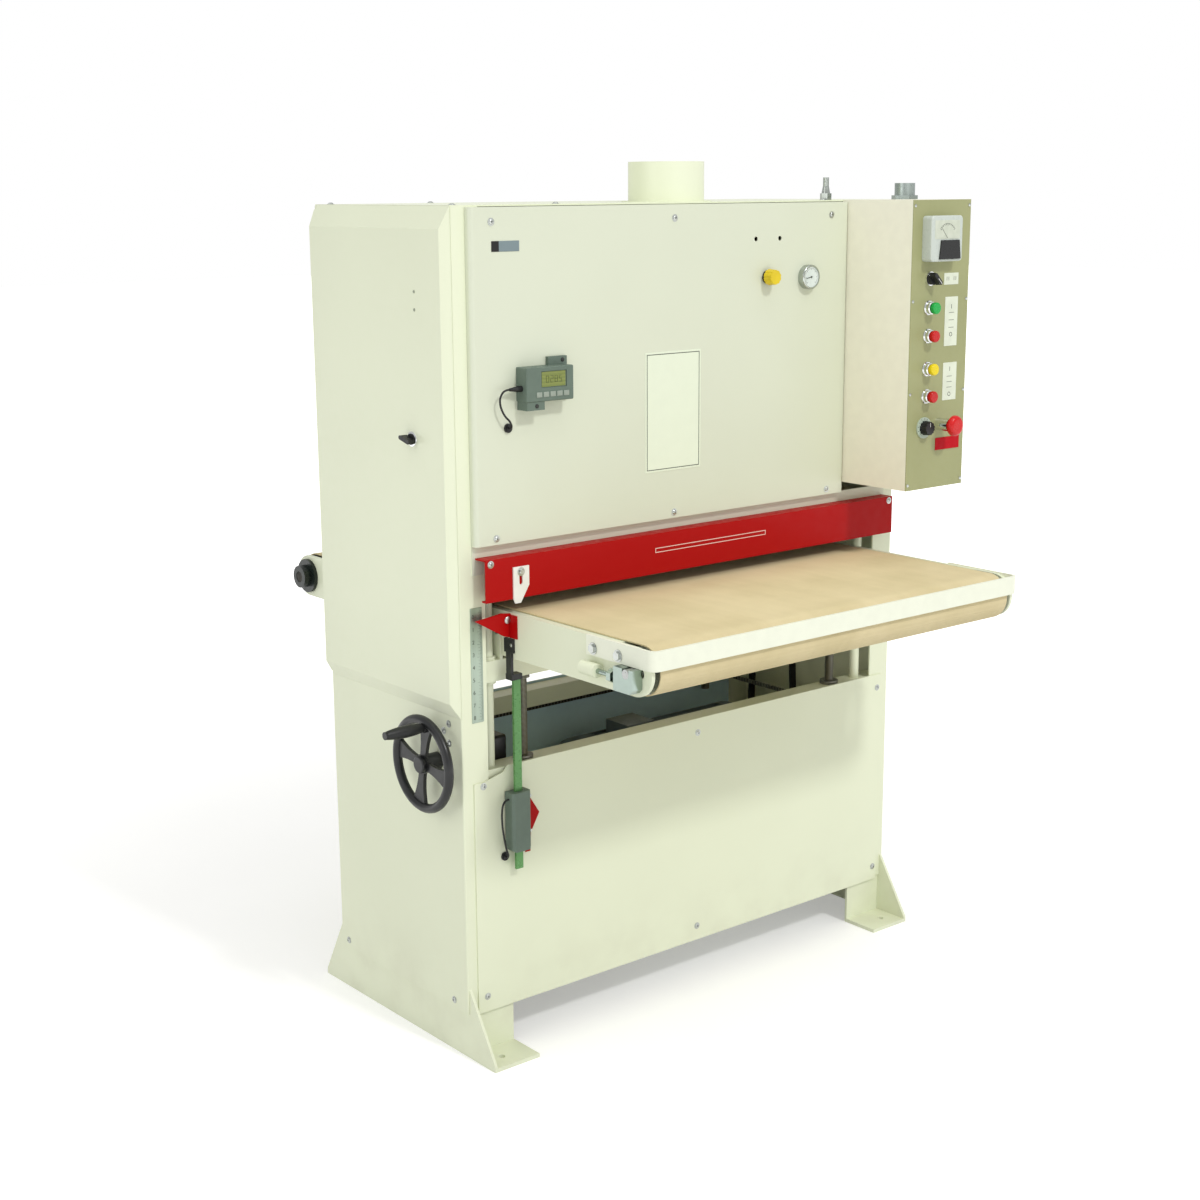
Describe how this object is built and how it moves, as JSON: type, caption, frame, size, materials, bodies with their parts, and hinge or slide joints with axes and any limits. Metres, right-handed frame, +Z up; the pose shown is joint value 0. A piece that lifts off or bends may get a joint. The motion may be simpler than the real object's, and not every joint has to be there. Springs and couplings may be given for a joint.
{
  "type": "wide belt sander",
  "caption": "Single-head wide belt sander with a conveyor table raised by a handwheel, a side door for belt changes and a control box at the front",
  "frame": {"origin": "floor level at the centre of the four anchor holes in the feet", "axes": "X across the machine to the operator's right, Y from infeed to outfeed, Z up"},
  "size_m": [1.367, 1.246, 1.781],
  "materials": {
    "cream_paint": "satin",
    "red_paint": "satin",
    "panel_paint": "satin",
    "black_paint": "satin",
    "grey_paint": "satin",
    "green_paint": "satin",
    "machined_steel": "brushed",
    "zinc_steel": "satin",
    "chrome": "polished",
    "cast_black": "painted",
    "conveyor_rubber": "ribbed",
    "drum_rubber": "matte",
    "drive_rubber": "matte",
    "abrasive_cloth": "gritty",
    "black_plastic": "matte",
    "white_plastic": "satin",
    "grey_plastic": "satin",
    "green_button": "gloss",
    "red_button": "gloss",
    "yellow_button": "gloss",
    "lead_rubber": "matte"
  },
  "bodies": {
    "root": {"left_side_frame": "cream_paint", "right_side_frame": "cream_paint", "cross_members": "black_paint", "front_skirt": "cream_paint", "rear_panels": "cream_paint", "front_cover": "cream_paint", "roof_panel": "cream_paint", "front_guard": "red_paint", "cover_screws": "zinc_steel", "control_box": "cream_paint", "control_panel": "panel_paint", "button_bezels": "chrome", "ammeter": "white_plastic", "air_fittings": "black_plastic", "readout_case": "grey_plastic", "readout_lead": "lead_rubber", "cable_grommets": "black_plastic", "reader_head": "grey_paint", "reader_bracket": "red_paint", "reader_lead": "lead_rubber", "head_frame": "cream_paint", "sanding_belt": "abrasive_cloth", "main_motor": "grey_paint", "drive_belt": "drive_rubber", "lift_chain": "machined_steel", "lift_gearbox": "cast_black"},
    "table": {"table_frame": "cream_paint", "lift_screws": "cast_black", "conveyor_belt": "conveyor_rubber", "front_bar": "cream_paint", "roller_mounts": "zinc_steel", "scale_pointer": "red_paint", "linear_scale": "green_paint", "feed_motor": "grey_paint"},
    "front_roller": {"front_roller": "machined_steel"},
    "rear_roller": {"rear_roller": "drum_rubber"},
    "contact_drum": {"contact_drum": "drum_rubber"},
    "tension_yoke": {"tension_yoke": "cream_paint"},
    "tension_roller": {"tension_roller": "machined_steel"},
    "infeed_pinch_roller": {"infeed_pinch_roller": "machined_steel"},
    "outfeed_pinch_roller": {"outfeed_pinch_roller": "machined_steel"},
    "sprocket_nut_front_left": {"sprocket_nut_front_left": "machined_steel"},
    "sprocket_nut_front_right": {"sprocket_nut_front_right": "machined_steel"},
    "sprocket_nut_rear_left": {"sprocket_nut_rear_left": "machined_steel"},
    "sprocket_nut_rear_right": {"sprocket_nut_rear_right": "machined_steel"},
    "drive_sprocket": {"drive_sprocket": "machined_steel"},
    "motor_pulley": {"motor_pulley": "cast_black"},
    "handwheel": {"handwheel": "cast_black"},
    "handwheel_grip": {"handwheel_grip": "black_plastic"},
    "left_door": {"left_door": "cream_paint"},
    "door_latch": {"door_latch": "black_plastic"},
    "selector_knob": {"selector_knob": "black_plastic"},
    "start_button": {"start_button": "green_button"},
    "stop_button": {"stop_button": "red_button"},
    "feed_start_button": {"feed_start_button": "yellow_button"},
    "feed_stop_button": {"feed_stop_button": "red_button"},
    "speed_dial": {"speed_dial": "black_plastic"},
    "estop_button": {"estop_button": "red_button"},
    "regulator_knob": {"regulator_knob": "yellow_button"},
    "thickness_stop": {"thickness_stop": "white_plastic"}
  },
  "joints": [
    {"name": "handwheel_turn", "type": "hinge", "parent": "root", "child": "handwheel", "pos_m": [-0.653, -0.157, 0.616], "axis": [1, 0, 0], "range_deg": [-15591.6, 2552.2]},
    {"name": "table_lift", "type": "slide", "parent": "root", "child": "table", "axis": [0, 0, 1], "range_m": [-0.11, 0.018]},
    {"name": "grip_spin", "type": "hinge", "parent": "handwheel", "child": "handwheel_grip", "pos_m": [-0.703, -0.17089, 0.69478], "axis": [1, 0, 0], "continuous": true},
    {"name": "sprocket_nut_front_left_turn", "type": "hinge", "parent": "root", "child": "sprocket_nut_front_left", "pos_m": [-0.446, -0.212, 0.6], "axis": [0, 0, 1], "range_deg": [-7796.3, 1276.6]},
    {"name": "sprocket_nut_front_right_turn", "type": "hinge", "parent": "root", "child": "sprocket_nut_front_right", "pos_m": [0.446, -0.212, 0.6], "axis": [0, 0, 1], "range_deg": [-7796.3, 1276.6]},
    {"name": "sprocket_nut_rear_left_turn", "type": "hinge", "parent": "root", "child": "sprocket_nut_rear_left", "pos_m": [-0.446, 0.212, 0.6], "axis": [0, 0, 1], "range_deg": [-7796.3, 1276.6]},
    {"name": "sprocket_nut_rear_right_turn", "type": "hinge", "parent": "root", "child": "sprocket_nut_rear_right", "pos_m": [0.446, 0.212, 0.6], "axis": [0, 0, 1], "range_deg": [-7796.3, 1276.6]},
    {"name": "drive_sprocket_turn", "type": "hinge", "parent": "root", "child": "drive_sprocket", "pos_m": [-0.4889, -0.157, 0.56], "axis": [0, 0, 1], "range_deg": [-9696.4, 1587.5]},
    {"name": "front_roller_spin", "type": "hinge", "parent": "table", "child": "front_roller", "pos_m": [0, -0.636, 0.874], "axis": [1, 0, 0], "continuous": true},
    {"name": "rear_roller_spin", "type": "hinge", "parent": "table", "child": "rear_roller", "pos_m": [0, 0.505, 0.874], "axis": [1, 0, 0], "continuous": true},
    {"name": "contact_drum_spin", "type": "hinge", "parent": "root", "child": "contact_drum", "pos_m": [0, 0.105, 1.0248], "axis": [1, 0, 0], "continuous": true},
    {"name": "belt_tension", "type": "slide", "parent": "root", "child": "tension_yoke", "axis": [0, 0, 1], "range_m": [-0.025, 0], "deforming": ["sanding_belt"]},
    {"name": "tension_roller_spin", "type": "hinge", "parent": "tension_yoke", "child": "tension_roller", "pos_m": [0, 0.105, 1.57894], "axis": [1, 0, 0], "continuous": true},
    {"name": "motor_pulley_spin", "type": "hinge", "parent": "root", "child": "motor_pulley", "pos_m": [0.572, 0.1, 0.365], "axis": [1, 0, 0], "continuous": true},
    {"name": "infeed_pinch_spin", "type": "hinge", "parent": "root", "child": "infeed_pinch_roller", "pos_m": [0, -0.022, 0.969], "axis": [1, 0, 0], "continuous": true},
    {"name": "outfeed_pinch_spin", "type": "hinge", "parent": "root", "child": "outfeed_pinch_roller", "pos_m": [0, 0.208, 0.969], "axis": [1, 0, 0], "continuous": true},
    {"name": "door_swing", "type": "hinge", "parent": "root", "child": "left_door", "pos_m": [-0.625, 0.2274, 1.2], "axis": [0, 0, -1], "range_deg": [0, 105]},
    {"name": "latch_turn", "type": "hinge", "parent": "left_door", "child": "door_latch", "pos_m": [-0.632, -0.12, 1.258], "axis": [1, 0, 0], "range_deg": [0, 90]},
    {"name": "selector_turn", "type": "hinge", "parent": "root", "child": "selector_knob", "pos_m": [0.487, -0.45, 1.535], "axis": [0, -1, 0], "range_deg": [-45, 45]},
    {"name": "dial_turn", "type": "hinge", "parent": "root", "child": "speed_dial", "pos_m": [0.482, -0.455, 1.215], "axis": [0, -1, 0], "range_deg": [-135, 135]},
    {"name": "regulator_turn", "type": "hinge", "parent": "root", "child": "regulator_knob", "pos_m": [0.185, -0.265, 1.543], "axis": [0, -1, 0], "range_deg": [-1080, 1080]},
    {"name": "start_button_press", "type": "slide", "parent": "root", "child": "start_button", "axis": [0, 1, 0], "range_m": [0, 0.004], "stiffness_N_per_m": 400},
    {"name": "stop_button_press", "type": "slide", "parent": "root", "child": "stop_button", "axis": [0, 1, 0], "range_m": [0, 0.004], "stiffness_N_per_m": 400},
    {"name": "feed_start_button_press", "type": "slide", "parent": "root", "child": "feed_start_button", "axis": [0, 1, 0], "range_m": [0, 0.004], "stiffness_N_per_m": 400},
    {"name": "feed_stop_button_press", "type": "slide", "parent": "root", "child": "feed_stop_button", "axis": [0, 1, 0], "range_m": [0, 0.004], "stiffness_N_per_m": 400},
    {"name": "estop_press", "type": "slide", "parent": "root", "child": "estop_button", "axis": [0, 1, 0], "range_m": [0, 0.005], "stiffness_N_per_m": 600},
    {"name": "thickness_stop_slide", "type": "slide", "parent": "root", "child": "thickness_stop", "axis": [0, 0, 1], "range_m": [0, 0.02]}
  ],
  "couplings": [
    {"joint": "handwheel_turn", "follows": "table_lift", "rad_per_m": 2473.7},
    {"joint": "sprocket_nut_front_left_turn", "follows": "table_lift", "rad_per_m": 1236.8},
    {"joint": "sprocket_nut_front_right_turn", "follows": "table_lift", "rad_per_m": 1236.8},
    {"joint": "sprocket_nut_rear_left_turn", "follows": "table_lift", "rad_per_m": 1236.8},
    {"joint": "sprocket_nut_rear_right_turn", "follows": "table_lift", "rad_per_m": 1236.8},
    {"joint": "drive_sprocket_turn", "follows": "table_lift", "rad_per_m": 1538.3},
    {"joint": "rear_roller_spin", "follows": "front_roller_spin", "ratio": 1},
    {"joint": "tension_roller_spin", "follows": "contact_drum_spin", "ratio": 1.3568},
    {"joint": "motor_pulley_spin", "follows": "contact_drum_spin", "ratio": 0.66667}
  ]
}
